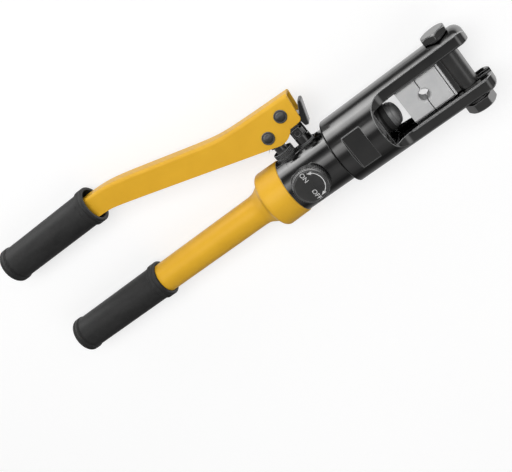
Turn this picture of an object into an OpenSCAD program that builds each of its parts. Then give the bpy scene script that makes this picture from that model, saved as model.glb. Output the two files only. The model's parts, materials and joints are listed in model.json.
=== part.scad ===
// Two-handled hydraulic crimping tool with a latched C-head, split dies and a hand pump.
// Millimetres. +X runs along the ram to the nose, +Y to the pump handle, +Z up, out of the
// release knob. The origin is the centre of the crimp nest. Stations named *_x are counted
// from the head's rear face, positive to the nose, unless their comment says otherwise.

/* [Head] */
// diameter of the turned steel head
head_d = 70; // [60:0.5:80]
// length of the head from its rear face to the arm ends
head_len = 155; // [140:0.5:170]
// chamfer on the rear edge
head_chamfer = 1.2; // [0.5:0.1:3]
// rounding of the arm ends towards the head's diameter
nose_round = 9; // [6:0.5:14]
// rounding of the arm ends towards their milled faces
arm_end_r = 11; // [6:0.5:11]
// distance of the crimp nest behind the latch pin's axis
nest_inset = 36.3; // [35:0.1:40]
// distance from the slot's end wall to the crimp nest
wall_inset = 41.2; // [38:0.1:44]
// radius of the end wall, which bulges a little towards the nose
wall_r = 108; // [70:1:200]
// width of the slot between the arms
slot_w = 38; // [37:0.2:42]
// thickness of the arms across their milled flats
arm_t = 36.6; // [32:0.2:44]
// chamfer on the long edges of the slot
slot_break = 1.3; // [0.5:0.1:2]
// radius of the cutter run-out behind the flats
runout_r = 21; // [12:0.5:26]
// distance from the end wall to the start of the run-out
runout_ahead = 14; // [10:0.5:20]
// distance across the wrench flats
wrench_af = 60; // [58:0.5:66]
// station where the wrench flats begin
wrench_x = 14.5; // [10:0.5:20]
// length of the wrench flats
wrench_len = 20; // [14:0.5:24]
// radius of the thread that joins the head and the pump body
join_r = 25.6; // [24:0.1:27]
// depth of that thread
join_len = 14; // [10:0.5:18]

/* [Latch] */
// distance of the latch pin's axis from the arm ends
latch_inset = 22.5; // [20:0.5:28]
// radius of the latch pin
latch_r = 10; // [8:0.1:10.4]
// distance across the flats of the fixed hex head
latch_af = 25.4; // [22:0.2:30]
// thickness of the fixed hex head
latch_head_t = 9.6; // [6:0.2:11]
// thickness of the screwed cap
latch_cap_t = 6.4; // [5:0.2:9]
// distance across the flats of the screwed cap
cap_af = 23.6; // [21:0.2:28]

/* [Dies] */
// width of a die across the arms
die_w = 35.2; // [32:0.2:36.4]
// thickness of a die
die_t = 22; // [18:0.5:26]
// length of a die along the ram axis
die_len = 21; // [18:0.2:24]
// parting gap between the closed dies
die_gap = 0.8; // [0.4:0.05:1]
// diameter of the round nest
nest_d = 10.8; // [8:0.1:14]
// width of the chamfer around the nest
nest_chamfer = 1.5; // [0.5:0.1:2.4]
// chamfer on the long edges of a die
die_break = 1.2; // [0.4:0.1:2]
// gap between the upper die and its backing strip
strip_gap = 0.7; // [0.4:0.05:1]
// thickness of the backing plate behind the front die
backing_t = 2; // [1.5:0.1:3]
// height of the guide tongues
tongue_h = 13.4; // [10:0.2:14]
// reach of the guide tongues into the arms
tongue_reach = 3; // [2:0.1:3.5]

/* [Ram] */
// radius of the ram's piston
ram_r = 18; // [16:0.1:18.5]
// radius of the ram's rod
rod_r = 12.8; // [12:0.1:14]
// gap between the ram and the rear die, with the dies closed
ram_gap = 6; // [4:0.1:8]
// length of the piston
piston_len = 13; // [12:0.5:16]
// distance from the piston's front to the slot's end wall
guide_len = 13; // [11:0.5:15]
// height of the ram's crowned end
ram_crown = 5.6; // [2:0.1:7]
// chamfer round the crown
ram_chamfer = 1; // [0.4:0.1:2]
// outer radius of the rod wiper
wiper_r = 14.3; // [13.8:0.1:16]
// reach of the rod wiper out of the end wall
wiper_out = 3.8; // [2:0.1:5]
// depth of the rod wiper's seat in the end wall
wiper_seat = 4; // [2:0.1:5]
// radius of the spring bore in the ram
ram_bore_r = 9.5; // [8:0.1:11]
// pitch of the return spring
spring_pitch = 2.8; // [2.6:0.05:3.4]
// wire radius of the return spring
spring_wire_r = 0.9; // [0.7:0.05:1]
// coil radius of the return spring
spring_r = 6.6; // [6:0.1:8]

/* [Pump body] */
// diameter of the pump body
body_d = 58.6; // [54:0.2:62]
// length of the visible pump body
body_len = 58.7; // [50:0.1:64]
// width of the undercut between the body and the head
seam_w = 1; // [0.6:0.1:2]
// depth of that undercut
seam_depth = 1.8; // [1:0.1:2.4]
// distance of the knob axis ahead of the pump body's rear face
knob_inset = 24; // [21:0.1:27]
// radius of the release knob
knob_r = 18.5; // [15:0.1:19]
// height of the knob's face above the ram axis
knob_top = 39; // [34:0.5:42]
// teeth of the knurl on the knob
knob_teeth = 56; // [36:2:64]
// radius of the release valve needle
needle_r = 4; // [3:0.1:4.5]
// radius of the pump plunger
plunger_r = 6; // [5:0.1:6.5]
// outer radius of the knurled gland nut
gland_r = 10.8; // [10:0.1:11.2]
// height of the gland nut's top above the ram axis
gland_top = 36.2; // [34:0.1:36.6]
// teeth of the knurl on the gland nut
gland_teeth = 36; // [24:2:48]

/* [Handle linkage] */
// distance of the pump plunger ahead of the pump body's rear face
plunger_inset = 14.4; // [13:0.1:16]
// height of the plunger rivet above the ram axis
rivet_low_y = 56.2; // [54:0.1:58]
// distance of the fulcrum rivet ahead of the plunger
fulcrum_ahead = 23; // [21:0.1:25]
// height of the fulcrum rivet above the ram axis
rivet_high_y = 66; // [64:0.1:68]
// distance of the link pin ahead of the plunger
post_ahead = 24.3; // [23:0.1:26]
// height of the link pin above the ram axis
link_pin_y = 42; // [41:0.1:43]
// radius of the rivet shanks
rivet_r = 4; // [3:0.1:4.5]
// radius of the domed rivet heads
rivet_head_r = 6.6; // [5.5:0.1:7]
// radius of the link pin
link_pin_r = 2.5; // [2:0.1:3]
// distance across the flats of the fulcrum post's hexagon
post_af = 16.4; // [14:0.2:16.4]
// radius of the fulcrum post's turned neck
post_r = 8; // [7:0.1:8.2]

/* [Pump handle] */
// width of the folded channel
channel_w = 22; // [20:0.2:26]
// sheet thickness
sheet_t = 2.5; // [2:0.1:3]
// outside radius of the folds
fold_r = 4; // [3:0.1:5]
// height of the channel's top at its front end
front_y = 80; // [78:0.1:84]
// rise of the front stretch per millimetre of length
front_slope = 0.055; // [0:0.005:0.1]
// rise of the middle stretch per millimetre of length
mid_slope = 0.30; // [0.25:0.005:0.35]
// height of the middle stretch's top at the bend's station
mid_y = 90.6; // [88:0.1:94]
// distance of that station behind the plunger
mid_back = 61.7; // [56:0.1:68]
// height of the grip's axis at its middle
grip_y = 112.5; // [105:0.1:120]
// rise of the grip per millimetre of length
grip_slope = 0.02; // [0:0.005:0.04]
// depth of the channel inside the grip
grip_channel = 24; // [20:0.2:26]
// height of the channel's lower edge at the plunger
low_y = 44; // [42:0.1:46]
// rise of the lower edge per millimetre of length
low_slope = 0.305; // [0.28:0.005:0.33]

/* [Fixed handle and grips] */
// largest diameter of the collar
collar_d = 61.6; // [58:0.2:66]
// diameter of the handle tube
tube_d = 33.6; // [30:0.2:38]
// wall of the handle tube
tube_wall = 2.4; // [2:0.1:3]
// distance of the grips' rear ends behind the head's rear face
grip_end = 369.7; // [350:0.1:390]
// length of each grip
grip_len = 131; // [115:0.5:140]
// diameter of each grip
grip_d = 38.2; // [35:0.2:42]
// diameter of the grips' end flanges
flange_d = 41.4; // [38:0.2:45]
// width of the flange at the mouth of a grip
flange_w = 9; // [5:0.5:12]

/* [Hidden] */
$fn = 72;
// running clearance on a shaft
run = 0.06;
// clearance between fixed pieces
fixed = 0.05;
// clearance between pieces that pass each other
pass = 0.3;
head_r = head_d / 2;
slot_h = slot_w / 2;
arm_z = arm_t / 2;
body_r = body_d / 2;
knob_floor = 25;
knob_base = knob_floor + 0.5;
knob_screw_z = knob_base + 4.5;
groove_y = slot_h + tongue_reach + 0.4;
die_half = die_w / 2;
tongue_y = slot_h + tongue_reach;
latch_x = head_len - latch_inset;
nest_x = latch_x - nest_inset;
wall_x = nest_x - wall_inset;
rear_die_x = nest_x - die_gap / 2 - die_len;
front_die_x = nest_x + die_gap / 2;
backing_x = front_die_x + die_len + strip_gap;
anvil_x = backing_x + backing_t + fixed;
anvil_end_x = latch_x - 4;
ram_face_x = rear_die_x - ram_gap;
piston_x = wall_x - guide_len;
ram_rear_x = piston_x - piston_len;
piston_stop_x = piston_x + 2;
runout_x = wall_x + runout_ahead;
spring_x0 = join_len + 3.2;
spring_x1 = ram_face_x - 10.2;
spring_turns = floor((spring_x1 - spring_x0) / spring_pitch);
// the wire's eight-sided curls come this near to the axis
spring_inner_r = spring_r * cos(22.5) - spring_wire_r;
spring_boss_r = spring_inner_r - 0.35;
plunger_back = body_len - plunger_inset;
fulcrum_back = plunger_back - fulcrum_ahead;
post_back = plunger_back - post_ahead;
knob_back = body_len - knob_inset;
// front end of the pump handle's channel
nose_back = plunger_back - 40.3;
plunger_foot = 14;
plate_in = channel_w / 2 - sheet_t;
link_half = plate_in - 1;
eye_half = 6;
// ways of the two ball valves
valve_r = 4.5;
ball_r = 3;
delivery_y = -10;
delivery_z = -10;
delivery_back = 26;
relief_seat_z = -8;
post_top = 47;
post_seat = 27.5;
gland_seat = 27;
tube_r = tube_d / 2;
grip_mouth = grip_end - grip_len;
grip_r = grip_d / 2;
collar_r = collar_d / 2;
// oil bladder in the handle tube
bladder_r = tube_r - tube_wall - 1.4;
bladder_wall = 1.6;
bladder_end = grip_end - 63.7;

black = [0.06, 0.06, 0.065];
steel = [0.62, 0.62, 0.64];
yellow = [0.93, 0.66, 0.10];
rubber = [0.04, 0.04, 0.045];

// moves stations into the part's frame
module place() translate([-nest_x, 0, 0]) children();
// turns a profile of [radius, station] about the ram axis
module turn_x(pts) rotate([0, 90, 0]) rotate_extrude() polygon(pts);
// cylinders along the three axes, from a start to an end
module cyl_x(r, x0, x1, y = 0, z = 0) translate([x0, y, z]) rotate([0, 90, 0]) cylinder(r = r, h = x1 - x0);
module cyl_y(r, y0, y1, x = 0, z = 0) translate([x, y0, z]) rotate([-90, 0, 0]) cylinder(r = r, h = y1 - y0);
module cyl_z(r, z0, z1, x = 0, y = 0) translate([x, y, z0]) cylinder(r = r, h = z1 - z0);
// box from a low corner to a high corner
module box(a, b) translate(a) cube(b - a);
// cutter for a 45 degree chamfer of width c on an edge along X
module break_x(x0, x1, y, z, c) translate([x0, y, z]) rotate([45, 0, 0])
  translate([0, -c * sin(45), -c * sin(45)]) cube([x1 - x0, 2 * c * sin(45), 2 * c * sin(45)]);
// points of an arc from angle a to angle b
function arc(cx, cy, r, a, b, n) = [for (i = [0:n]) [cx + r * cos(a + (b - a) * i / n),
  cy + r * sin(a + (b - a) * i / n)]];
// toothed outline of a straight knurl
module knurl(r, teeth, depth) polygon([for (i = [0:2 * teeth - 1])
  (r - (i % 2) * depth) * [cos(i * 180 / teeth), sin(i * 180 / teeth)]]);

// one unbroken wire wound about X, as a swept tube
module coil_x(r, wire, x0, x1, turns, sides = 6, per_turn = 8) {
  n = turns * per_turn;
  lead = (x1 - x0) / (turns * 2 * PI * r);
  norm = sqrt(1 + lead * lead);
  pts = [for (i = [0:n]) let (a = 360 * i / per_turn) for (k = [0:sides - 1])
    let (b = 360 * k / sides, u = wire * cos(b), v = wire * sin(b))
    [x0 + (x1 - x0) * i / n + v / norm,
     (r + u) * cos(a) + v * lead / norm * sin(a),
     (r + u) * sin(a) - v * lead / norm * cos(a)]];
  cap0 = [[for (k = [0:sides - 1]) k]];
  cap1 = [[for (k = [sides - 1:-1:0]) n * sides + k]];
  walls = [for (i = [0:n - 1]) for (k = [0:sides - 1])
    [i * sides + k, (i + 1) * sides + k, (i + 1) * sides + (k + 1) % sides, i * sides + (k + 1) % sides]];
  polyhedron(pts, concat(cap0, cap1, walls), convexity = 10);
}

module head() {
  color(black) place() difference() {
    turn_x(concat([[0, 0], [head_r - head_chamfer, 0], [head_r, head_chamfer]],
      arc(head_r - nose_round, head_len - nose_round, nose_round, 0, 90, 10),
      [[0, head_len]]));
    // thread for the pump body, bores for the piston and its rod, seat of the rod wiper
    cyl_x(join_r + fixed, -1, join_len + fixed);
    cyl_x(ram_r + run, join_len - 1, piston_stop_x);
    cyl_x(rod_r + run, join_len, wall_x + 1);
    cyl_x(wiper_r + fixed, wall_x - wiper_seat, wall_x + 1);
    // slot between the arms, behind which the end wall bulges
    difference() {
      box([wall_x - 8, -slot_h, -head_r - 1], [head_len + 1, slot_h, head_r + 1]);
      cyl_y(wall_r, -head_r, head_r, wall_x - wall_r, 0, $fn = 240);
    }
    // milled faces of the arms with their run-out
    for (s = [0, 180]) rotate([s, 0, 0]) {
      box([runout_x, -head_r - 1, arm_z], [head_len + 1, head_r + 1, head_r + 1]);
      cyl_y(runout_r, -head_r - 1, head_r + 1, runout_x, arm_z + runout_r);
    }
    // arm ends, rounded towards their milled faces
    for (s = [0, 180]) rotate([s, 0, 0]) difference() {
      box([head_len - arm_end_r, -head_r - 1, arm_z - arm_end_r], [head_len + 1, head_r + 1, head_r + 1]);
      cyl_y(arm_end_r, -head_r - 2, head_r + 2, head_len - arm_end_r, arm_z - arm_end_r);
    }
    // chamfers on the slot's long edges
    for (q = [-1, 1]) for (w = [-1, 1]) break_x(runout_x, head_len + 1, q * slot_h, w * arm_z, slot_break);
    // wrench flats
    for (s = [0, 180]) rotate([s, 0, 0])
      box([wrench_x, -head_r, wrench_af / 2], [wrench_x + wrench_len, head_r, head_r + 1]);
    // seats for the latch pin
    cyl_y(latch_r + run, -head_r - 1, head_r + 1, latch_x);
    // grooves for the guide tongues, which run out at the nose
    box([wall_x, -groove_y, -tongue_h / 2 - pass], [head_len + 1, groove_y, tongue_h / 2 + pass]);
  }
}

module nest_cut() translate([nest_x, 0, 0]) {
  cyl_z(nest_d / 2, -die_t, die_t);
  for (s = [0, 180]) rotate([s, 0, 0]) translate([0, 0, die_t / 2 - nest_chamfer])
    cylinder(r1 = nest_d / 2, r2 = nest_d / 2 + nest_chamfer, h = nest_chamfer + 0.01);
}

module die_block(x0) {
  difference() {
    union() {
      box([x0, -die_half, -die_t / 2], [x0 + die_len, die_half, die_t / 2]);
      box([x0, -tongue_y, -tongue_h / 2], [x0 + die_len, tongue_y, tongue_h / 2]);
    }
    nest_cut();
    for (q = [-1, 1]) for (w = [-1, 1])
      break_x(x0 - 1, x0 + die_len + 1, q * die_half, w * die_t / 2, die_break);
  }
}

module lower_die() color(steel) place() die_block(rear_die_x);
module upper_die() color(steel) place() die_block(front_die_x);

module backing_plate() color(steel) place()
  box([backing_x, -die_half, -die_t / 2], [backing_x + backing_t, die_half, die_t / 2]);

module anvil() color(black) place() difference() {
  box([anvil_x, -tongue_y, -tongue_h / 2], [anvil_end_x, tongue_y, tongue_h / 2]);
  cyl_y(latch_r + run, -head_r, head_r, latch_x);
}

// hex head with a chamfered outer face, standing on y = 0 towards +Y
module hex_head(af, t) intersection() {
  rotate([-90, 0, 0]) cylinder(r = af / 2 / cos(30), h = t, $fn = 6);
  rotate([-90, 0, 0]) rotate_extrude() polygon([[0, 0], [af / 2 / cos(30) + 0.1, 0],
    [af / 2 / cos(30) + 0.1, t - 1.8], [af / 2 - 0.6, t], [0, t]]);
}

module latch_pin() color(black) place() translate([latch_x, 0, 0]) {
  cyl_y(latch_r, -head_r - pass, head_r + pass);
  translate([0, -head_r - pass, 0]) rotate([180, 0, 0]) hex_head(latch_af, latch_head_t);
  // threaded end for the cap
  cyl_y(5, head_r + pass, head_r + pass + latch_cap_t - 2);
}

module latch_cap() color(black) place() translate([latch_x, head_r + pass + fixed, 0])
  difference() {
    rotate([0, 30, 0]) hex_head(cap_af, latch_cap_t);
    cyl_y(5 + fixed, -1, latch_cap_t - 2 + 0.2);
  }

module ram() color(steel) place() difference() {
  turn_x(concat([[0, ram_rear_x], [ram_r - 1, ram_rear_x], [ram_r, ram_rear_x + 1],
    [ram_r, ram_rear_x + 5], [ram_r - 2.6, ram_rear_x + 5], [ram_r - 2.6, ram_rear_x + 8.2],
    [ram_r, ram_rear_x + 8.2], [ram_r, piston_x - 1], [ram_r - 1, piston_x], [rod_r, piston_x],
    [rod_r, ram_face_x - ram_crown - ram_chamfer]],
    [for (a = [0:10:90]) [(rod_r - ram_chamfer) * cos(a), ram_face_x - ram_crown * (1 - sin(a))]]));
  difference() {
    cyl_x(ram_bore_r, ram_rear_x - 1, ram_face_x - 9);
    // boss inside the spring's end
    cyl_x(spring_boss_r, ram_face_x - 14, ram_face_x - 8);
  }
}

module rod_wiper() color(rubber) place() difference() {
  turn_x([[0, wall_x - wiper_seat + fixed], [wiper_r, wall_x - wiper_seat + fixed],
    [wiper_r, wall_x + wiper_out - 1.2], [wiper_r - 0.5, wall_x + wiper_out - 0.3],
    [wiper_r - 1, wall_x + wiper_out], [0, wall_x + wiper_out]]);
  cyl_x(rod_r + run, 0, head_len);
}

module ram_seal() color(rubber) place() difference() {
  cyl_x(ram_r - 0.02, ram_rear_x + 5 + fixed, ram_rear_x + 8.2 - fixed);
  cyl_x(ram_r - 2.6 + fixed, ram_rear_x, ram_rear_x + 12);
}

module return_spring() {
  echo(return_spring_self_gap = (spring_x1 - spring_x0) / spring_turns - 2 * spring_wire_r);
  color(steel) place() coil_x(spring_r, spring_wire_r, spring_x0, spring_x1, spring_turns);
}

module spring_anchor() color(steel) place() {
  cyl_x(4 - fixed, 5, join_len + 0.1);
  cyl_x(8.2, join_len + fixed, join_len + 2);
  cyl_x(spring_boss_r, join_len + 1.9, join_len + 6);
}

module pump_body() color(black) place() difference() {
  turn_x([[0, -body_len - 34], [9, -body_len - 34], [9, -body_len - 21.5],
    [collar_r - 6.2, -body_len - 21.5], [collar_r - 6.2, -body_len], [body_r, -body_len],
    [body_r, -seam_w], [body_r - seam_depth, -seam_w], [body_r - seam_depth, 0], [join_r, 0],
    [join_r, 8], [join_r - 2.2, 8], [join_r - 2.2, 10.4],
    [join_r, 10.4], [join_r, join_len], [0, join_len]]);
  // pump chamber with its packing and gland
  cyl_y(plunger_r + run, 8, body_r + 1, -plunger_back);
  cyl_y(9, 16, body_r + 1, -plunger_back);
  cyl_y(gland_r + 0.6, gland_seat, body_r + 1, -plunger_back);
  // seat of the fulcrum post
  cyl_y(5 + fixed, 13, body_r + 1, -post_back);
  cyl_y(11, post_seat, body_r + 1, -post_back);
  // seat of the release knob and its valve needle
  cyl_z(knob_r + 0.7, knob_floor, body_r + 1, -knob_back);
  cyl_z(needle_r + run, 6, knob_floor + 1, -knob_back);
  // relief valve
  cyl_z(valve_r, -body_r - 1, relief_seat_z, -knob_back);
  // delivery valve
  cyl_x(valve_r, -delivery_back, join_len + 1, delivery_y, delivery_z);
  // spring anchor
  cyl_x(4, 4, join_len + 1);
  // suction way through the rear nipple
  cyl_x(3, -body_len - 35, -body_len - 8);
}

module head_seal() color(rubber) place() rotate([0, 90, 0]) translate([0, 0, 9.2])
  rotate_extrude() translate([join_r - 1.13, 0]) circle(r = 1.05, $fn = 20);

module gland_nut() color(black) place() translate([-plunger_back, 0, 0]) difference() {
  union() {
    cyl_y(9 - fixed, 20, gland_seat + 0.1);
    translate([0, gland_seat + fixed, 0]) rotate([-90, 0, 0]) linear_extrude(3.6) knurl(gland_r, gland_teeth, 0.8);
    cyl_y(gland_r - 1.6, gland_seat + 3, gland_seat + 5.2);
    translate([0, gland_seat + 4.6, 0]) rotate([-90, 0, 0])
      linear_extrude(gland_top - gland_seat - 4.6) knurl(gland_r, gland_teeth, 0.8);
  }
  cyl_y(plunger_r + run, 10, gland_top + 1);
}

module plunger_packing() color(rubber) place() translate([-plunger_back, 0, 0]) difference() {
  cyl_y(9 - fixed, 16 + fixed, 20 - fixed);
  cyl_y(plunger_r + run, 10, 30);
}

module pump_plunger() color(black) place() translate([-plunger_back, 0, 0]) difference() {
  union() {
    cyl_y(plunger_r, plunger_foot, rivet_low_y - 8);
    cyl_y(plunger_r + 2, rivet_low_y - 13.6, rivet_low_y - 11.2);
    box([-8, rivet_low_y - 11.2, -eye_half], [8, rivet_low_y, eye_half]);
    cyl_z(9, -eye_half, eye_half, 0.4, rivet_low_y);
  }
  // the rivet has room here, because the eye follows a straight line and the rivet an arc
  cyl_z(rivet_r + 1.2, -eye_half - 1, eye_half + 1, 0.4, rivet_low_y);
}

module fulcrum_post() color(black) place() translate([-post_back, 0, 0]) difference() {
  union() {
    cyl_y(5, 14, 30);
    rotate([-90, 0, 0]) rotate_extrude() polygon([[0, post_seat + fixed], [10.6, post_seat + fixed],
      [10.6, 28.8], [10.2, 29.2], [post_r + 0.5, 29.2], [post_r, 29.7], [post_r, 38.4], [0, 38.4]]);
    rotate([-90, 0, 0]) intersection() {
      translate([0, 0, 38]) cylinder(r = post_af / 2 / cos(30), h = post_top - 38, $fn = 6);
      translate([0, 0, 36]) cylinder(r1 = post_af / 2 - 0.4 + 12, r2 = post_af / 2 - 0.4, h = 12);
    }
  }
  // fork for the link
  box([-20, 36.4, -4], [20, 60, 4]);
  cyl_z(link_pin_r, -20, 20, 0, link_pin_y);
}

module link_pin() color(black) place()
  cyl_z(link_pin_r - 0.02, -post_af / 2 + 0.3, post_af / 2 - 0.3, -post_back, link_pin_y);

module fulcrum_link() color(black) place() difference() {
  union() {
    // tongue in the fork
    cyl_z(4.2, -3.7, 3.7, -post_back, link_pin_y);
    box([-post_back - 4.2, link_pin_y, -3.7], [-post_back + 4.2, rivet_high_y - 11, 3.7]);
    // eye, web and stop horn between the handle's sides
    cyl_z(10, -link_half, link_half, -fulcrum_back, rivet_high_y);
    translate([-fulcrum_back, rivet_high_y, -link_half]) linear_extrude(2 * link_half) polygon(concat(
      [[-9.7, -2], [-8.7, -14.5], [-4.7, -16.4], [11.3, -16.4], [12.3, -22.5], [15.7, -23.6], [16.7, -22.4]],
      arc(22.2, -0.6, 1.9, -18, 150, 8), [[14.9, -9.5], [11.7, -8.5], [9.7, -2]]));
  }
  cyl_z(rivet_r + run, -20, 20, -fulcrum_back, rivet_high_y);
  cyl_z(link_pin_r + run, -20, 20, -post_back, link_pin_y);
}

// lines of the channel's top and lower edges, blended over short bends; b is the distance
// behind the head's rear face
function blend_max(a, b, k) = (a + b + sqrt((a - b) * (a - b) + k * k)) / 2;
function blend_min(a, b, k) = (a + b - sqrt((a - b) * (a - b) + k * k)) / 2;
function grip_axis(b) = grip_y + grip_slope * (b - (grip_end + grip_mouth) / 2);
function top_y(b) = blend_min(blend_max(front_y + front_slope * (b - nose_back),
  mid_y + mid_slope * (b - plunger_back - mid_back), 4), grip_axis(b) + grip_channel / 2, 5);
function bottom_y(b) = blend_min(low_y + low_slope * (b - plunger_back), grip_axis(b) - grip_channel / 2, 2.5);

// closed outline of the folded section at one station, as [y, z]
function section(t, b, n) = concat([[b, channel_w / 2]],
  [for (p = arc(channel_w / 2 - fold_r, t - fold_r, fold_r, 0, 90, n)) [p[1], p[0]]],
  [for (p = arc(-channel_w / 2 + fold_r, t - fold_r, fold_r, 90, 180, n)) [p[1], p[0]]],
  [[b, -channel_w / 2], [b, -plate_in]],
  [for (p = arc(-channel_w / 2 + fold_r, t - fold_r, fold_r - sheet_t, 180, 90, n)) [p[1], p[0]]],
  [for (p = arc(channel_w / 2 - fold_r, t - fold_r, fold_r - sheet_t, 90, 0, n)) [p[1], p[0]]],
  [[b, plate_in]]);

module channel() {
  folds = 4;
  bend = plunger_back + mid_back;
  mouth = grip_mouth - 43;
  stations = concat([for (i = [0:10]) nose_back - 2 + i * (bend - 38 - nose_back) / 10],
    [for (i = [0:11]) bend - 36 + 4 * i], [for (i = [1:7]) bend + 8 + i * (mouth - bend - 12) / 7],
    [for (i = [0:12]) mouth + 5 * i], [grip_end - 6]);
  m = len(section(1, 0, folds));
  n = len(stations);
  pts = [for (b = stations) for (p = section(top_y(b), bottom_y(b), folds)) [-b, p[0], p[1]]];
  walls = [for (i = [0:n - 2]) for (k = [0:m - 1])
    [i * m + k, i * m + (k + 1) % m, (i + 1) * m + (k + 1) % m, (i + 1) * m + k]];
  polyhedron(pts, concat([[for (k = [m - 1:-1:0]) k]], [[for (k = [0:m - 1]) (n - 1) * m + k]], walls),
    convexity = 10);
}

// side view of the channel's front end: a lobe round the plunger rivet and a slanted edge
module nose_outline() union() {
  translate([-grip_end - 50, -100]) square([grip_end + 50 - plunger_back, 400]);
  intersection() {
    translate([7.3 - plunger_back, rivet_low_y + 5]) circle(r = 18.8, $fn = 96);
    translate([-16 - plunger_back, 0]) square([60, rivet_low_y + 6]);
  }
  translate([-fulcrum_back, rivet_high_y]) polygon(concat([[-23.7, -16], [7.3, -15.8]],
    arc(10.9, -12.2, 3.2, -80, -8, 6), [[17.3, 12.5], [17.9, 40], [-23.7, 40]]));
}

module moving_handle() color(yellow) place() difference() {
  intersection() {
    channel();
    translate([0, 0, -50]) linear_extrude(100) nose_outline();
  }
  cyl_z(rivet_r + fixed, -50, 50, -fulcrum_back, rivet_high_y);
  cyl_z(rivet_r + fixed, -50, 50, -plunger_back, rivet_low_y);
}

module rivet() {
  cyl_z(rivet_r, -channel_w / 2 - 1, channel_w / 2 + 1);
  for (s = [0, 180]) rotate([s, 0, 0]) translate([0, 0, channel_w / 2 + 0.1]) rotate_extrude()
    polygon(concat([[0, 0], [rivet_head_r, 0], [rivet_head_r, 0.6]],
      [for (i = [1:7]) [rivet_head_r * cos(i * 90 / 8), 0.6 + 3 * sin(i * 90 / 8)]], [[0, 3.6]]));
}

module pivot_rivets() color(black) place() {
  translate([-fulcrum_back, rivet_high_y, 0]) rivet();
  translate([-plunger_back, rivet_low_y, 0]) rivet();
}

// grip profile as [radius, distance from the rear end]
module grip_solid() turn_x(concat([[0, 0]],
  arc(flange_d / 2 - 3.4, 3, 3, -90, 0, 5),
  [[flange_d / 2 - 0.4, 7.5], [grip_r + 0.2, 9.5], [grip_r, 12], [grip_r, grip_len - flange_w - 2],
   [grip_r + 0.3, grip_len - flange_w], [flange_d / 2 - 0.4, grip_len - flange_w + 0.6],
   [flange_d / 2, grip_len - flange_w + 2], [flange_d / 2, grip_len - 2]],
  arc(flange_d / 2 - 2, grip_len - 2, 2, 0, 90, 4), [[0, grip_len]]));

module fixed_grip() color(rubber) place() difference() {
  translate([-grip_end, 0, 0]) grip_solid();
  cyl_x(tube_r + fixed, -grip_end + 6, 0);
}

module moving_grip() color(rubber) place() {
  mid = (grip_end + grip_mouth) / 2;
  tilt = atan(grip_slope);
  difference() {
    translate([-mid, grip_axis(mid), 0]) rotate([0, 0, -tilt]) translate([-grip_len / 2, 0, 0]) grip_solid();
    // pocket for the channel
    translate([-mid, grip_axis(mid), 0]) rotate([0, 0, -tilt])
      box([-grip_len / 2 + 5, -grip_channel / 2 - 0.4, -channel_w / 2 - 0.2],
        [grip_len, grip_channel / 2 + 0.4, channel_w / 2 + 0.2]);
  }
}

module fixed_handle() color(yellow) place() difference() {
  turn_x(concat([[0, -body_len - 0.02], [body_r + 0.5, -body_len - 0.02], [body_r + 0.9, -body_len - 1],
    [collar_r, -body_len - 22]],
    [for (p = arc(collar_r - 5, -body_len - 24, 5, 0, -62, 6)) p],
    [[collar_r - 7.2, -body_len - 31.2], [collar_r - 9.6, -body_len - 34.4], [tube_r + 1.6, -body_len - 39.6],
     [tube_r + 0.5, -body_len - 43], [tube_r, -body_len - 48], [tube_r, -grip_end + 6.5],
     [0, -grip_end + 6.5]]));
  turn_x([[0, 1 - body_len], [collar_r - 6.2 + fixed, 1 - body_len], [collar_r - 6.2 + fixed, -body_len - 22],
    [collar_r - 10, -body_len - 26], [tube_r - tube_wall, -body_len - 40], [tube_r - tube_wall, -grip_end],
    [0, -grip_end]]);
}

module oil_bladder() color(rubber) place() difference() {
  turn_x([[0, -body_len - 24], [10.8, -body_len - 24], [10.8, -body_len - 34], [bladder_r, -body_len - 46],
    [bladder_r, 6 - bladder_end], [bladder_r - 3, -bladder_end], [0, -bladder_end]]);
  turn_x([[0, 1 - body_len], [9 + fixed, 1 - body_len], [9 + fixed, -body_len - 36],
    [bladder_r - bladder_wall, -body_len - 47], [bladder_r - bladder_wall, 7 - bladder_end],
    [bladder_r - 4, 2 - bladder_end], [0, 2 - bladder_end]]);
  cyl_x(5, -bladder_end - 4, 6 - bladder_end);
}

module bladder_plug() color(steel) place() {
  cyl_x(5 - fixed, -bladder_end - 0.5, 5 - bladder_end);
  cyl_x(7, -bladder_end - 3, -bladder_end - fixed);
}

module delivery_ball() color(steel) place()
  translate([-delivery_back + ball_r + 0.05, delivery_y, delivery_z]) sphere(r = ball_r, $fn = 32);

module delivery_spring() color(steel) place() translate([0, delivery_y, delivery_z])
  coil_x(2.6, 0.4, -delivery_back + 2 * ball_r + 0.6, 5.4, 9);

module delivery_plug() color(steel) place() difference() {
  cyl_x(valve_r - fixed, 6, join_len - 0.5, delivery_y, delivery_z);
  translate([0, delivery_y, delivery_z]) cyl_x(1.6, 0, 20);
}

module relief_ball() color(steel) place()
  translate([-knob_back, 0, relief_seat_z - ball_r - 0.05]) sphere(r = ball_r, $fn = 32);

module relief_spring() color(steel) place() translate([-knob_back, 0, 0]) rotate([0, -90, 0])
  coil_x(2.6, 0.5, -22.4, relief_seat_z - 2 * ball_r - 0.7, 5);

module relief_screw() color(steel) place() translate([-knob_back, 0, 0]) difference() {
  cyl_z(valve_r - fixed, -body_r + 0.6, -23);
  translate([0, 0, -body_r]) cylinder(r = 2.9, h = 3.6, $fn = 6);
}

module release_knob() color(black) place() translate([-knob_back, 0, 0]) difference() {
  union() {
    cyl_z(knob_r - 0.9, knob_base, knob_base + 2);
    translate([0, 0, knob_base + 1.6]) linear_extrude(knob_top - knob_base - 3) knurl(knob_r, knob_teeth, 0.8);
    translate([0, 0, knob_top - 1.5]) cylinder(r1 = knob_r - 0.7, r2 = knob_r - 1.6, h = 1.5);
  }
  cyl_z(needle_r + fixed, knob_base - 1, knob_top - 6);
  cyl_x(2, 0, knob_r + 1, 0, knob_screw_z);
}

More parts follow.
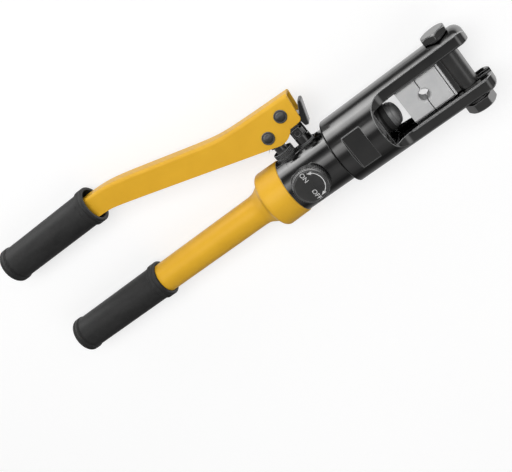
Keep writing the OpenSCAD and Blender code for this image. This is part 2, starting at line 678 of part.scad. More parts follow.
module valve_needle() color(steel) place() translate([-knob_back, 0, 0]) {
  translate([0, 0, 6.6]) cylinder(r1 = 0.6, r2 = needle_r, h = 5);
  cyl_z(needle_r, 11.5, knob_top - 6 - fixed);
}

module knob_screw() color(steel) place()
  translate([-knob_back, 0, 0]) cyl_x(2 - fixed, needle_r + fixed, knob_r - 3, 0, knob_screw_z);

head();
pump_body();
fixed_handle();
fixed_grip();
oil_bladder();
bladder_plug();
head_seal();
gland_nut();
plunger_packing();
fulcrum_post();
link_pin();
delivery_ball();
delivery_spring();
delivery_plug();
relief_ball();
relief_spring();
relief_screw();
spring_anchor();
upper_die();
backing_plate();
anvil();
latch_pin();
latch_cap();
ram();
ram_seal();
rod_wiper();
return_spring();
lower_die();
moving_handle();
moving_grip();
pivot_rivets();
fulcrum_link();
pump_plunger();
release_knob();
valve_needle();
knob_screw();
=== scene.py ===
"""Looks of the hydraulic crimping tool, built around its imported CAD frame. Metres, CAD frame."""
import json
import math

import bmesh
import bpy
from mathutils import Matrix, Vector


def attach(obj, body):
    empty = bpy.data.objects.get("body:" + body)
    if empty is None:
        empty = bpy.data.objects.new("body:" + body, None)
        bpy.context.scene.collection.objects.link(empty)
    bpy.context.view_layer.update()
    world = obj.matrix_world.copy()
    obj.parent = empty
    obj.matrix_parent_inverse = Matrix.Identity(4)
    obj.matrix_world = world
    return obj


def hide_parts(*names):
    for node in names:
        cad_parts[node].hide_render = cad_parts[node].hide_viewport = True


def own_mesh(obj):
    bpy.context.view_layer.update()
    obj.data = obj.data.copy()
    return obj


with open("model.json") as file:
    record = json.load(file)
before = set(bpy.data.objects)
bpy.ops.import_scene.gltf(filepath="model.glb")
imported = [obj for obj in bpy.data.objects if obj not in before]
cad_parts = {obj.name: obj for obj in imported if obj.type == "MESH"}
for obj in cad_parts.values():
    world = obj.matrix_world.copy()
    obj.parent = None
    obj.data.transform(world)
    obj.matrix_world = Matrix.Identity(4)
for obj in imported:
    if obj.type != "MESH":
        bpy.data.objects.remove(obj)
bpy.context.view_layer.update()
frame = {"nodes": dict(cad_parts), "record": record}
nodes = frame["nodes"]
bodies = frame["record"]["behaviour"]["bodies"]
body_of = {n: body for body, names in bodies.items() for n in names}
slot_of = {s["node"]: s["material_slot"] for s in frame["record"]["subparts"]}
scene = bpy.context.scene

MM = 0.001
NEST = 96.2  # the nest's station, counted from the head's rear face


def st(x, y=0.0, z=0.0):
    """Point of the CAD frame from a station and two heights in millimetres."""
    return Vector(((x - NEST) * MM, y * MM, z * MM))


# Camera, fitted to the photograph
RIGHT = Vector((0.7599, -0.64058, -0.11053))
DOWN = Vector((-0.53514, -0.713, 0.45306))
FORWARD = Vector((-0.36903, -0.28513, -0.8846))
EYE = Vector((0.06592, 0.20203, 0.69256))
LENS, SENSOR, CLIP_START = 52.464, 36.0, 0.01

cam_data = bpy.data.cameras.new("camera")
cam_data.lens = LENS
cam_data.sensor_width = SENSOR
cam_data.sensor_fit = "HORIZONTAL"
cam_data.clip_start = CLIP_START
cam = bpy.data.objects.new("camera", cam_data)
scene.collection.objects.link(cam)
axes = Matrix((RIGHT, -DOWN, -FORWARD)).transposed()
cam.matrix_world = Matrix.Translation(EYE) @ axes.to_4x4()
scene.camera = cam
scene.view_settings.view_transform = "Standard"


class Tree:
    """Short hand for building a node tree."""

    def __init__(self, tree):
        self.t = tree
        tree.nodes.clear()

    def add(self, kind, links=None, **props):
        """A node with its properties set, and its inputs linked or given a value."""
        n = self.t.nodes.new(kind)
        for k, v in props.items():
            setattr(n, k, v)
        for k, v in (links or {}).items():
            if hasattr(v, "links"):
                self.t.links.new(v, n.inputs[k])
            else:
                n.inputs[k].default_value = v
        return n

    def link(self, a, b):
        self.t.links.new(a, b)

    def math(self, op, a, b, clamp=False):
        return self.add("ShaderNodeMath", {0: a, 1: b}, operation=op, use_clamp=clamp).outputs[0]

    def noise(self, vec, scale, detail=3.0, rough=0.55):
        """Noise with its scale per metre."""
        links = {"Vector": vec, "Scale": scale, "Detail": detail, "Roughness": rough}
        return self.add("ShaderNodeTexNoise", links).outputs[0]

    def stretch(self, vec, scale):
        return self.add("ShaderNodeMapping", {0: vec, 3: scale}).outputs[0]

    def span(self, fac, lo, hi, a=0.3, b=0.7):
        """Takes a value that runs from a to b to one that runs from lo to hi."""
        return self.add("ShaderNodeMapRange", {0: fac, 1: a, 2: b, 3: lo, 4: hi}).outputs[0]

    def mix(self, fac, a, b):
        """Mixes two colours: sockets 6 and 7 in and 2 out are a Mix node's colour sockets."""
        return self.add("ShaderNodeMix", {0: fac, 6: a, 7: b}, data_type="RGBA").outputs[2]

    def bump(self, bsdf, height, strength, depth, normal=None):
        links = {"Strength": strength, "Distance": depth, "Height": height}
        if normal is not None:
            links["Normal"] = normal
        self.link(self.add("ShaderNodeBump", links).outputs[0], bsdf.inputs["Normal"])


def grey(v, warm=0.0):
    return (v * (1 + warm), v, v * (1 - warm), 1.0)


def material(name):
    mat = bpy.data.materials.new(name)
    mat.use_nodes = True
    t = Tree(mat.node_tree)
    out = t.add("ShaderNodeOutputMaterial")
    bsdf = t.add("ShaderNodeBsdfPrincipled")
    t.link(bsdf.outputs[0], out.inputs[0])
    co = t.add("ShaderNodeTexCoord").outputs["Object"]
    return mat, t, bsdf, co


WORN_COS = (0.80, 0.995)  # cosines between the rounded and plain normals at full wear and at none
WORN_ROUGH = 0.40  # rubbed edges are this much rougher, so that they catch light from all round
WORN_BLACK = 0.8  # shares of the rubbed tone on the edges of black, ground and painted pieces
WORN_GROUND = 0.25
WORN_PAINT = 0.35
TURNED_DEPTH = 0.00004  # height of turning and grinding marks
PAINTED_SHADE_FADE = 0.0005  # length over which the painted shade behind a place fades


def wear_mask(t, radius):
    """White along sharp edges, from the difference between the rounded and the plain normal."""
    soft = t.add("ShaderNodeBevel", {"Radius": radius}, samples=4).outputs[0]
    plain = t.add("ShaderNodeNewGeometry").outputs["Normal"]
    dot = t.add("ShaderNodeVectorMath", {0: soft, 1: plain}, operation="DOT_PRODUCT")
    return t.span(dot.outputs["Value"], 1.0, 0.0, *WORN_COS), soft


def black_metal(name, base, rough, lathe=True):
    """Black-oxide steel: fine turning marks, cloudy finish, edges rubbed a little brighter."""
    mat, t, b, co = material(name)
    if lathe:
        along = t.add("ShaderNodeSeparateXYZ", {0: co}).outputs[0]
        ring = t.add("ShaderNodeCombineXYZ", {0: along, 1: 0.0, 2: 0.0}).outputs[0]
    else:
        ring = t.stretch(co, (1.0, 0.06, 1.0))
    lines = t.noise(ring, 2600.0, 2.0)
    cloud = t.noise(co, 60.0, 4.0)
    fine = t.noise(co, 1800.0, 2.0)
    mask, soft = wear_mask(t, 0.0010)
    worn = t.math("MULTIPLY", mask, t.span(cloud, 0.35, 1.0), clamp=True)
    tone = t.mix(t.span(cloud, 0.0, 1.0), grey(base * 0.9), grey(base * 1.08, 0.012))
    tone = t.mix(t.math("MULTIPLY", worn, WORN_BLACK), tone, grey(min(0.7, base * 3.2)))
    t.link(tone, b.inputs["Base Color"])
    b.inputs["Metallic"].default_value = 1.0
    r = t.math("ADD", t.span(cloud, rough - 0.03, rough + 0.03), t.span(lines, -0.02, 0.03))
    t.link(t.math("ADD", r, t.math("MULTIPLY", worn, WORN_ROUGH)), b.inputs["Roughness"])
    t.bump(b, t.math("ADD", lines, fine), 0.05, TURNED_DEPTH, soft)
    return mat


def ground_steel(name, base, metal, rough, stretch, painted_shade_behind=None):
    """Ground or plated steel with fine grain, and painted shade (near black) behind a place along
    X if one is given.
    """
    mat, t, b, co = material(name)
    grain = t.noise(t.stretch(co, stretch), 2400.0, 3.0, 0.6)
    cloud = t.noise(co, 90.0, 4.0)
    mask, soft = wear_mask(t, 0.0006)
    tone = t.mix(t.span(cloud, 0.0, 1.0), grey(base * 0.95, -0.006), grey(base * 1.03, 0.002))
    tone = t.mix(t.math("MULTIPLY", t.span(grain, 0.0, 1.0), 0.22), tone, grey(base * 0.86))
    tone = t.mix(t.math("MULTIPLY", mask, WORN_GROUND), tone, grey(min(0.93, base * 1.3)))
    # painted shade: the tone turns near black behind the given place along X
    if painted_shade_behind is not None:
        along = t.add("ShaderNodeSeparateXYZ", {0: co}).outputs[0]
        shade_mask = t.span(along, 1.0, 0.0, painted_shade_behind, painted_shade_behind + PAINTED_SHADE_FADE)
        tone = t.mix(shade_mask, tone, grey(0.02))
    t.link(tone, b.inputs["Base Color"])
    b.inputs["Metallic"].default_value = metal
    r = t.math("ADD", t.span(cloud, rough - 0.04, rough + 0.04), t.span(grain, -0.03, 0.03))
    t.link(r, b.inputs["Roughness"])
    t.bump(b, grain, 0.10, TURNED_DEPTH, soft)
    return mat


YELLOW_DEEP, YELLOW_LIGHT = (0.79, 0.425, 0.021, 1), (0.87, 0.483, 0.028, 1)
YELLOW_SPECK, YELLOW_THIN = (0.68, 0.37, 0.022, 1), (0.90, 0.58, 0.11, 1)


def powder_paint(name):
    """Satin yellow powder coat: orange peel, slight tone drift, thinner at the edges."""
    mat, t, b, co = material(name)
    peel = t.noise(co, 700.0, 2.0, 0.5)
    speck = t.noise(co, 3800.0, 2.0, 0.5)
    cloud = t.noise(co, 22.0, 4.0)
    mask, soft = wear_mask(t, 0.0009)
    tone = t.mix(t.span(cloud, 0.0, 1.0), YELLOW_DEEP, YELLOW_LIGHT)
    specks = t.math("MULTIPLY", t.span(speck, 0.0, 1.0, 0.55, 0.75), 0.25)
    tone = t.mix(specks, tone, YELLOW_SPECK)
    tone = t.mix(t.math("MULTIPLY", mask, WORN_PAINT), tone, YELLOW_THIN)
    t.link(tone, b.inputs["Base Color"])
    t.link(t.span(peel, 0.36, 0.46), b.inputs["Roughness"])
    b.inputs["Specular IOR Level"].default_value = 0.45
    t.bump(b, peel, 0.16, 0.00012, soft)
    return mat


RUBBER_BASE = 0.017


def moulded_rubber(name):
    """Matt black rubber: spark-eroded grain over a faint mottle, as on moulded grips."""
    mat, t, b, co = material(name)
    grain = t.noise(co, 2300.0, 3.0, 0.6)
    leather = t.add("ShaderNodeTexVoronoi", {"Vector": co, "Scale": 620.0}).outputs[0]
    mottle = t.noise(co, 260.0, 4.0, 0.65)
    bloom = t.noise(t.stretch(co, (0.35, 1.0, 1.0)), 95.0, 5.0, 0.65)
    tone = t.mix(t.span(bloom, 0.0, 1.0), grey(RUBBER_BASE * 0.85), grey(RUBBER_BASE * 1.45, 0.01))
    patches = t.math("MULTIPLY", t.span(mottle, 0.0, 1.0, 0.45, 0.72), 0.45)
    tone = t.mix(patches, tone, grey(RUBBER_BASE * 2.1))
    pits = t.math("MULTIPLY", t.span(grain, 0.0, 1.0, 0.5, 0.75), 0.4)
    t.link(t.mix(pits, tone, grey(RUBBER_BASE * 1.8)), b.inputs["Base Color"])
    r = t.math("ADD", t.span(bloom, 0.50, 0.58), t.span(mottle, -0.03, 0.04))
    t.link(r, b.inputs["Roughness"])
    b.inputs["Specular IOR Level"].default_value = 0.5
    coarse = t.math("ADD", t.math("MULTIPLY", leather, 0.8), mottle)
    t.bump(b, t.math("ADD", t.math("MULTIPLY", grain, 0.5), coarse), 0.30, 0.00022)
    return mat


def filled_paint(name):
    """Off-white paint of the knob's marks."""
    mat, t, b, co = material(name)
    n = t.noise(co, 1500.0, 4.0)
    t.link(t.mix(t.span(n, 0.0, 1.0), grey(0.60, 0.01), grey(0.74)), b.inputs["Base Color"])
    t.link(t.span(n, 0.42, 0.56), b.inputs["Roughness"])
    t.bump(b, n, 0.15, 0.00005)
    return mat


# directions in which the grain of ground steel is drawn out
GRAIN_Y, GRAIN_X, GRAIN_NONE = (1.0, 0.05, 1.0), (0.06, 1.0, 1.0), (1.0, 1.0, 1.0)
HEAD_RIM = st(2.0).x  # painted shade: the head's rear rim is painted near black, as the shadow gap where the body meets it

MATS = {
    "black_steel": black_metal("black_steel_look", 0.185, 0.13),
    "black_knob": black_metal("black_knob_look", 0.22, 0.30, lathe=False),
    "bright_steel": ground_steel("bright_steel_look", 0.60, 1.0, 0.30, GRAIN_Y),
    "satin_die": ground_steel("satin_die_look", 0.78, 0.35, 0.45, GRAIN_X),
    "yellow_paint": powder_paint("yellow_paint_look"),
    "rubber": moulded_rubber("rubber_look"),
}
PAINT_WHITE = filled_paint("filled_paint_look")
RAM_STEEL = ground_steel("ram_steel_look", 0.36, 0.8, 0.46, GRAIN_NONE)
RIVET_BLACK = black_metal("rivet_look", 0.20, 0.40, lathe=False)
PIN_BLACK = black_metal("pin_look", 0.19, 0.30, lathe=False)
RUBBED_EDGE = ground_steel("rubbed_edge_look", 0.36, 1.0, 0.42, GRAIN_NONE)
# the head's rubbed edges, with painted shade on its rear rim
HEAD_EDGE_AND_RIM_SHADE = ground_steel("head_edge_rim_shade_look", 0.40, 1.0, 0.42, GRAIN_NONE, painted_shade_behind=HEAD_RIM)


def dress(obj, mat):
    """Gives an object one material through its own slot."""
    if not obj.material_slots:
        obj.data.materials.append(None)
    obj.material_slots[0].link = "OBJECT"
    obj.material_slots[0].material = mat


for name, obj in nodes.items():
    dress(obj, MATS[slot_of[name]])


def add_mesh(name, bm, mat):
    """A new object in the scene from a bmesh, which it frees."""
    me = bpy.data.meshes.new(name)
    bm.to_mesh(me)
    bm.free()
    obj = bpy.data.objects.new(name, me)
    scene.collection.objects.link(obj)
    dress(obj, mat)
    return obj


def new_piece(name, bm, body, mat, replaces=None, smooth=True):
    """A visible piece that rides on a body, in the place of a CAD node if one is named."""
    obj = add_mesh(name, bm, mat)
    for p in obj.data.polygons:
        p.use_smooth = smooth
    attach(obj, body)
    if replaces:
        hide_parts(replaces)
    return obj


# broken edges: width by node, the looks that differ from the slot's, and the limits of the work
EDGE_WIDTH = {
    "head": 0.0006, "pump_body": 0.0004, "fixed_handle": 0.0006, "moving_handle": 0.0005,
    "lower_die": 0.0005, "upper_die": 0.0005, "backing_plate": 0.0003, "anvil": 0.0005,
    "latch_cap": 0.0005, "fulcrum_link": 0.0007, "fulcrum_post": 0.0004,
    "pump_plunger": 0.0004, "gland_nut": 0.0002, "ram": 0.0003, "latch_pin": 0.0004,
}
OWN_LOOK = {"ram": RAM_STEEL, "latch_pin": PIN_BLACK}
WELD = 2e-6
FLAT_DEG, EDGE_DEG = 0.4, 16
EDGE_SEGMENTS, NORMAL_WEIGHT = 2, 80


def broken_edges(node, width):
    """The CAD solid with its sharp edges broken, as a machinist would file them."""
    bm = bmesh.new()
    bm.from_mesh(nodes[node].data)
    bmesh.ops.remove_doubles(bm, verts=bm.verts, dist=WELD)
    bmesh.ops.dissolve_limit(bm, angle_limit=math.radians(FLAT_DEG), use_dissolve_boundaries=False,
                             verts=bm.verts, edges=bm.edges, delimit=set())
    slot = slot_of[node]
    look = OWN_LOOK.get(node, MATS[slot])
    obj = new_piece(node + "_finished", bm, body_of[node], look, node)
    bev = obj.modifiers.new("edges", "BEVEL")
    if slot == "black_steel":
        # the head's broken edges also carry the painted shade on its rear rim
        obj.data.materials.append(HEAD_EDGE_AND_RIM_SHADE if node == "head" else RUBBED_EDGE)
        bev.material = 1
    bev.width = width
    bev.segments = EDGE_SEGMENTS
    bev.limit_method = "ANGLE"
    bev.angle_limit = math.radians(EDGE_DEG)
    # the clamp takes the narrowest place for all edges, which hides those of the black pieces
    bev.use_clamp_overlap = slot != "black_steel"
    bev.miter_outer = "MITER_ARC"
    flat = obj.modifiers.new("normals", "WEIGHTED_NORMAL")
    flat.mode = "FACE_AREA"
    flat.weight = NORMAL_WEIGHT
    flat.keep_sharp = False


def on_circle(r, k, n):
    """Point k of n round a circle."""
    a = 2 * math.pi * k / n
    return r * math.cos(a), r * math.sin(a)


def lathe_x(bm, profile, n, at, turn=Matrix.Identity(3)):
    """Turns a profile of (radius, x) in millimetres about the X axis, moved to a place."""
    rings = []
    for r, x in profile:
        round_x = [on_circle(r, k, n) for k in range(n)] if r > 0 else [(0, 0)]
        rings.append([bm.verts.new(at + turn @ (Vector((x, y, z)) * MM)) for y, z in round_x])
    for a, b in zip(rings, rings[1:]):
        for k in range(n):
            j = (k + 1) % n
            if len(a) == 1:
                bm.faces.new((a[0], b[k], b[j]))
            elif len(b) == 1:
                bm.faces.new((a[k], b[0], a[j]))
            else:
                bm.faces.new((a[k], b[k], b[j], a[j]))
    bmesh.ops.recalc_face_normals(bm, faces=bm.faces)


def polar(r, deg):
    return (r * math.cos(math.radians(deg)), r * math.sin(math.radians(deg)))


def fillet(cr, cx, r, a0, a1, n):
    """Arc points (radius, x) about (cr, cx), from one angle to another in degrees."""
    arc = [polar(r, a0 + (a1 - a0) * i / n) for i in range(n + 1)]
    return [(cr + dr, cx + dx) for dr, dx in arc]


# Grips: the fixed one on the handle tube, and the one on the pump handle, which is tilted
GRIP_LEN, GRIP_R, FLANGE_R = 131.0, 19.1, 20.7
GRIP_REAR = -369.7
TUBE_BORE, LEVER_BORE = 17.0, 16.8
LEVER_GRIP_Y = 112.5
LEVER_TILT = -math.atan(0.02)
GRIP_SIDES = 128


def grip_profile(bore):
    """(radius, distance from the rear end) of a moulded grip with its bore."""
    cap_r = FLANGE_R - 0.4
    bead_r = FLANGE_R - 1.2
    front_bead_r = FLANGE_R - 0.9
    # rear cap with a groove round it, and the neck in front of it
    p = [(0, 0.5), (8, 0.25)] + fillet(cap_r - 3.0, 3.0, 3.0, -90, 0, 8)
    p += [(cap_r, 3.6), (bead_r, 4.0), (bead_r, 4.6), (cap_r, 5.0), (cap_r, 7.4)]
    p += fillet(cap_r - 0.5, 7.6, 0.5, 0, 80, 4)
    p += [(GRIP_R - 0.5, 8.4), (GRIP_R - 0.7, 8.9), (GRIP_R - 0.4, 9.5), (GRIP_R, 10.2)]
    # barrel
    p += [(GRIP_R, x) for x in range(12, 109, 12)]
    # front neck, and the flange with a groove round it
    front = [(GRIP_R, 12.6), (GRIP_R - 0.3, 11.4), (GRIP_R - 0.7, 10.8), (GRIP_R - 0.5, 10.3)]
    p += [(r, GRIP_LEN - back) for r, back in front]
    p += fillet(FLANGE_R - 0.6, GRIP_LEN - 9.4, 0.6, -80, 0, 4)
    flange = [(FLANGE_R, 5.6), (front_bead_r, 5.1), (front_bead_r, 4.4), (FLANGE_R, 3.9),
              (FLANGE_R, 2.4)]
    p += [(r, GRIP_LEN - back) for r, back in flange]
    p += fillet(FLANGE_R - 1.5, GRIP_LEN - 1.5, 1.5, 0, 90, 6)
    # mouth and bore
    p += [(bore + 1.3, GRIP_LEN)] + fillet(bore + 1.0, GRIP_LEN - 1.0, 1.0, 90, 180, 4)
    p += [(bore, GRIP_LEN - 20), (bore, 7.0), (0, 7.0)]
    return p


bm = bmesh.new()
lathe_x(bm, grip_profile(TUBE_BORE), GRIP_SIDES, st(GRIP_REAR))
new_piece("fixed_grip_rubber", bm, "frame", MATS["rubber"], "fixed_grip")

tilt = Matrix.Rotation(LEVER_TILT, 3, "Z")
grip_middle = st(GRIP_REAR + GRIP_LEN / 2, LEVER_GRIP_Y)
grip_end = grip_middle + tilt @ Vector((-GRIP_LEN / 2 * MM, 0, 0))
bm = bmesh.new()
lathe_x(bm, grip_profile(LEVER_BORE), GRIP_SIDES, grip_end, tilt)
new_piece("moving_grip_rubber", bm, "handle", MATS["rubber"], "moving_grip")

for node, width in EDGE_WIDTH.items():
    broken_edges(node, width)

# the return spring, on its own copy of the CAD mesh (on the real tool it shortens towards its
# anchor as the ram goes back)
bm = bmesh.new()
bm.from_mesh(nodes["return_spring"].data)
spring = new_piece("return_spring_coil", bm, "frame", MATS["bright_steel"],
                   "return_spring")
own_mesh(spring)

# Rivets: a shank between two heads, each with a rounded lip and a dome inside it
RIVETS = ((-21.3, 66.0), (-44.3, 56.2))
RIVET_SIDES, RIVET_SHARP_DEG = 64, 40
SHANK_R, SEAT_Z, RIVET_R, RIM_BREAK = 4.0, 11.05, 6.6, 0.3
LIP = [(RIVET_R, 12.2), (6.5, 12.5), (6.2, 12.7), (5.7, 12.7), (5.4, 12.4), (5.0, 12.35)]
DOME_R, DOME_Z, CROWN_Z, DOME_STEPS = 4.7, 12.75, 14.65, 6
rise = CROWN_Z - DOME_Z
ball = (DOME_R ** 2 + rise ** 2) / (2 * rise)
dome = [DOME_R * (1 - i / DOME_STEPS) for i in range(DOME_STEPS + 1)]
half = [(SHANK_R, SEAT_Z), (RIVET_R - RIM_BREAK, SEAT_Z), (RIVET_R, SEAT_Z + RIM_BREAK)] + LIP
half += [(r, CROWN_Z - ball + math.sqrt(ball ** 2 - r ** 2)) for r in dome]
rivet = [(r, -z) for r, z in reversed(half)] + half
upright = Matrix.Rotation(-math.pi / 2, 3, "Y")
bm = bmesh.new()
for x, y in RIVETS:
    lathe_x(bm, rivet, RIVET_SIDES, st(x, y), upright)
rivets = new_piece("pivot_rivets_finished", bm, "handle", RIVET_BLACK,
                   "pivot_rivets")
rivets.data.set_sharp_from_angle(angle=math.radians(RIVET_SHARP_DEG))

# Release knob: rings of (radius, height, tooth depth), from the bore's rim up to the face
KNOB = st(-34.7)
KNOB_R, KNOB_BASE, FACE = 18.5, 25.5, 38.9
TEETH, TOOTH_STEPS, TOOTH = 56, 6, 1.0
KNOB_SHARP_DEG = 35
KNOB_RINGS = (
    (4.3, KNOB_BASE + 0.01, 0), (17.2, KNOB_BASE, 0), (17.7, KNOB_BASE + 0.5, 0),
    (17.7, KNOB_BASE + 1.6, 0), (18.4, KNOB_BASE + 2.2, TOOTH), (KNOB_R, KNOB_BASE + 2.6, TOOTH),
    (KNOB_R, 36.6, TOOTH), (18.2, 37.2, TOOTH * 0.8), (17.5, 37.6, 0), (17.35, 38.3, 0),
    (16.9, 38.8, 0), (16.7, FACE, 0), (15.9, FACE, 0), (15.8, FACE - 0.25, 0),
    (15.5, FACE - 0.25, 0), (15.4, FACE, 0), (8.0, FACE, 0), (2.0, FACE, 0),
)


def knob_ring(bm, radius, z, depth):
    """A ring of the knob with its teeth cut to a depth, in millimetres."""
    n = TEETH * TOOTH_STEPS
    ring = []
    for k in range(n):
        phase = (k * TEETH / n) % 1.0
        x, y = on_circle(radius - depth * abs(2 * phase - 1), k, n)
        ring.append(bm.verts.new(KNOB + Vector((x, y, z)) * MM))
    return ring


def band(bm, a, b):
    """Faces between two rings of as many points."""
    for k in range(len(a)):
        j = (k + 1) % len(a)
        bm.faces.new((a[k], a[j], b[j], b[k]))


def close_ends(bm, first, last):
    """Closes a stack of rings at both ends and turns its faces outwards."""
    bm.faces.new(last)
    bm.faces.new(list(reversed(first)))
    bmesh.ops.recalc_face_normals(bm, faces=bm.faces)


bm = bmesh.new()
rings = [knob_ring(bm, *ring) for ring in KNOB_RINGS]
for a, b in zip(rings, rings[1:]):
    band(bm, a, b)
close_ends(bm, rings[0], rings[-1])
knob = new_piece("release_knob_body", bm, "knob", MATS["black_knob"], "release_knob")
knob.data.set_sharp_from_angle(angle=math.radians(KNOB_SHARP_DEG))

# Marks of thin paint on the knob's face, in millimetres about its axis
MARK_Z0, MARK_Z1 = FACE - 0.02, FACE + 0.06
LETTER_SIZE, LETTER_STEPS = 6.6, 4
ARC_R, ARC_W, ARC_STEPS = 13.9, 0.42, 28
ARC_A, ARC_B = -58.0, 52.0
HEAD_DEG, HEAD_BACK, HEAD_W, TIP_IN = 19.0, 2, 1.75, 0.4


def flat_mark(name, outline):
    """A painted figure from its outline."""
    bm = bmesh.new()
    low, top = ([bm.verts.new(KNOB + Vector((x, y, z)) * MM) for x, y in outline]
                for z in (MARK_Z0, MARK_Z1))
    band(bm, low, top)
    close_ends(bm, low, top)
    new_piece(name, bm, "knob", PAINT_WHITE, smooth=False)


def lettering(name, text, x, y):
    """A painted word, which reads along -Y."""
    curve = bpy.data.curves.new(name, "FONT")
    curve.body = text
    curve.size = LETTER_SIZE * MM
    curve.align_x = "CENTER"
    curve.align_y = "CENTER"
    curve.extrude = (MARK_Z1 - MARK_Z0) / 2 * MM
    curve.resolution_u = LETTER_STEPS
    obj = bpy.data.objects.new(name + "_curve", curve)
    scene.collection.objects.link(obj)
    dg = bpy.context.evaluated_depsgraph_get()
    dg.update()
    me = bpy.data.meshes.new_from_object(obj.evaluated_get(dg))
    bpy.data.objects.remove(obj)
    bm = bmesh.new()
    bm.from_mesh(me)
    bpy.data.meshes.remove(me)
    turn = Matrix.Rotation(-math.pi / 2, 4, "Z")
    centre = KNOB + Vector((x, y, (MARK_Z0 + MARK_Z1) / 2)) * MM
    bmesh.ops.transform(bm, matrix=Matrix.Translation(centre) @ turn, verts=bm.verts)
    new_piece(name, bm, "knob", PAINT_WHITE, smooth=False)


angles = [ARC_A + (ARC_B - ARC_A) * i / ARC_STEPS for i in range(ARC_STEPS + 1)]
arc = [polar(ARC_R + ARC_W, a) for a in angles]
arc += [polar(ARC_R + HEAD_W, ARC_B - HEAD_BACK), polar(ARC_R - TIP_IN, ARC_B + HEAD_DEG),
        polar(ARC_R - HEAD_W, ARC_B - HEAD_BACK)]
arc += [polar(ARC_R - ARC_W, a) for a in reversed(angles)]
arc += [polar(ARC_R - HEAD_W, ARC_A + HEAD_BACK), polar(ARC_R - TIP_IN, ARC_A - HEAD_DEG),
        polar(ARC_R + HEAD_W, ARC_A + HEAD_BACK)]
flat_mark("mark_arrow", arc)
lettering("mark_on", "ON", 0.0, 11.0)
lettering("mark_off", "OFF", -0.5, -9.6)


def rectangle(x0, y0, x1, y1):
    return ((x0, y0), (x1, y0), (x1, y1), (x0, y1))


# Floor: the tool lies on the back of its head and on the rims of its grips
LOW_HEAD = st(4.0, 0, -35.0)
LOW_GRIP = st(-367.0, 0, -FLANGE_R)
FLOOR_HALF, FLOOR_GAP = 3.0, 0.0003
FLOOR_GLOW = 0.66  # lifts the floor to white in the picture, under the tool's shadow
FLOOR_BOUNCE = 0.75  # grey that lights the tool from below
mat = bpy.data.materials.new("floor_pale")
mat.use_nodes = True
t = Tree(mat.node_tree)
out = t.add("ShaderNodeOutputMaterial")
co = t.add("ShaderNodeTexCoord").outputs["Object"]
tone = t.mix(t.noise(co, 3.0), grey(0.40), grey(0.42))
diff = t.add("ShaderNodeBsdfDiffuse", {"Color": tone})
glow = t.add("ShaderNodeEmission", {"Color": grey(1.0), "Strength": FLOOR_GLOW})
path = t.add("ShaderNodeLightPath").outputs
mirrored = t.math("MAXIMUM", path["Is Glossy Ray"], path["Is Transmission Ray"])
seen = t.math("MAXIMUM", path["Is Camera Ray"], mirrored)
lit = t.add("ShaderNodeAddShader", {0: diff.outputs[0], 1: glow.outputs[0]})
plain = t.add("ShaderNodeBsdfDiffuse", {"Color": grey(FLOOR_BOUNCE)})
mixed = t.add("ShaderNodeMixShader", {0: seen, 1: plain.outputs[0], 2: lit.outputs[0]})
t.link(mixed.outputs[0], out.inputs[0])

bm = bmesh.new()
corners = rectangle(-FLOOR_HALF, -FLOOR_HALF, FLOOR_HALF, FLOOR_HALF)
bm.faces.new([bm.verts.new((x, y, 0)) for x, y in corners])
floor = add_mesh("floor", bm, mat)
slope = math.atan2(LOW_GRIP.z - LOW_HEAD.z, LOW_HEAD.x - LOW_GRIP.x)
under = Matrix.Translation(LOW_HEAD - Vector((0, 0, FLOOR_GAP)))
floor.matrix_world = under @ Matrix.Rotation(slope, 4, "Y")
floor.visible_glossy = False

# painted shade: dark sheets on the table under the slot and under the pump handle, which only
# reflections see, stand in for the tool's own shadow there
SHADE_SHEET_Z = -34.0
SHADE_SHEETS = (("flag_slot", (22, -19, 150, 19)), ("flag_handle", (-80, 24, -14, 75)))
mat, t, b, co = material("painted_shade_sheet")
t.link(t.mix(t.noise(co, 40.0), grey(0.02), grey(0.03)), b.inputs["Base Color"])
b.inputs["Roughness"].default_value = 1.0
for name, sides in SHADE_SHEETS:
    bm = bmesh.new()
    bm.faces.new([bm.verts.new(st(x, y, SHADE_SHEET_Z)) for x, y in rectangle(*sides)])
    sheet = add_mesh(name, bm, mat)
    sheet.visible_camera = False
    sheet.visible_diffuse = False
    sheet.visible_shadow = False

# Studio: strips of light and dark round the tool's long axis, as softboxes and flags stand round
# a table, by angle from +Y towards +Z
STRIPS = (
    (-180, 0.05), (-130, 0.30), (-106, 0.62), (-90, 0.80), (-66, 1.00), (-50, 0.72), (-38, 0.12),
    (-29, 0.12), (-18, 1.65), (-2, 2.75), (13, 1.6), (26, 0.12), (34, 0.07), (47, 0.22),
    (61, 1.15), (72, 0.8), (88, 0.10), (98, 0.10), (110, 0.19), (126, 0.22), (150, 0.17),
    (166, 0.10), (180, 0.05),
)
TOP = 3.0  # level at the ramp's white
# directions in which the table beyond the nose begins and is full, along X and down Z, its level
AHEAD_X = (0.42, 0.72)
AHEAD_Z = (-0.30, 0.05)
AHEAD_LEVEL = 1.4
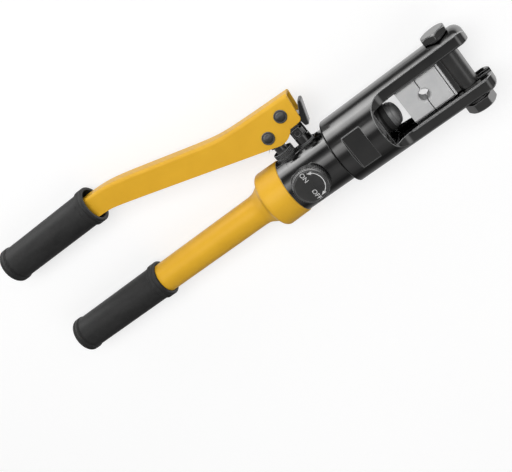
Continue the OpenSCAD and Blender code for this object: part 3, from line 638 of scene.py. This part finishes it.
# direction of the small lamp, the cosines at its rim and where it is full, and its level
LAMP_WAY = Vector((0.50, -0.28, 0.82))
LAMP_SPAN = (0.972, 0.996)
LAMP_LEVEL = 0.7
world = bpy.data.worlds.new("studio")
scene.world = world
world.use_nodes = True
t = Tree(world.node_tree)
out = t.add("ShaderNodeOutputWorld")
co = t.add("ShaderNodeTexCoord").outputs["Generated"]
way = t.add("ShaderNodeSeparateXYZ", {0: co}).outputs
psi = t.math("ARCTAN2", way[2], way[1])
pos = t.math("ADD", t.math("MULTIPLY", psi, 0.5 / math.pi), 0.5)
ramp = t.add("ShaderNodeValToRGB", {0: pos})
cr = ramp.color_ramp
cr.interpolation = "EASE"
while len(cr.elements) < len(STRIPS):
    cr.elements.new(0.5)
for el, (deg, level) in zip(cr.elements, STRIPS):
    el.position = deg / 360 + 0.5
    el.color = grey(level / TOP)
# the bright table beyond the nose, which the arm ends mirror
beyond = t.span(way[0], 0.0, 1.0, *AHEAD_X)
below = t.span(way[2], 1.0, 0.0, *AHEAD_Z)
ahead = t.math("MULTIPLY", beyond, below)
strips = t.mix(ahead, ramp.outputs[0], grey(AHEAD_LEVEL / TOP))
# a small lamp high over the nose, which the cross pin mirrors
towards = t.add("ShaderNodeVectorMath", {0: co, 1: LAMP_WAY}, operation="DOT_PRODUCT")
lamp = t.span(towards.outputs["Value"], 0.0, 1.0, *LAMP_SPAN)
strips = t.mix(lamp, strips, grey(LAMP_LEVEL / TOP))
around = t.add("ShaderNodeBackground", {"Color": strips, "Strength": TOP})
white = t.add("ShaderNodeBackground", {"Color": grey(1.0), "Strength": 1.0})
direct = t.add("ShaderNodeLightPath").outputs["Is Camera Ray"]
mixed = t.add("ShaderNodeMixShader", {0: direct, 1: around.outputs[0], 2: white.outputs[0]})
t.link(mixed.outputs[0], out.inputs[0])

# softboxes aimed at the tool's middle: place, width and depth, power
MIDDLE = Vector((-0.2, 0.03, 0.0))
SOFTBOXES = {
    "key": ((-0.1, 0.55, 1.25), (1.1, 0.9), 9.0),
    "fill": ((0.25, -0.8, 1.0), (1.2, 1.0), 3.0),
}
for name, (place, size, power) in SOFTBOXES.items():
    data = bpy.data.lights.new(name, "AREA")
    data.shape = "RECTANGLE"
    data.size, data.size_y = size
    data.energy = power
    obj = bpy.data.objects.new(name, data)
    scene.collection.objects.link(obj)
    obj.location = place
    obj.rotation_euler = (MIDDLE - Vector(place)).to_track_quat("-Z", "Y").to_euler()
    obj.visible_glossy = False

# the yellow handles don't colour the black steel in the photograph
for name in ("moving_handle_finished", "fixed_handle_finished"):
    bpy.data.objects[name].visible_glossy = False
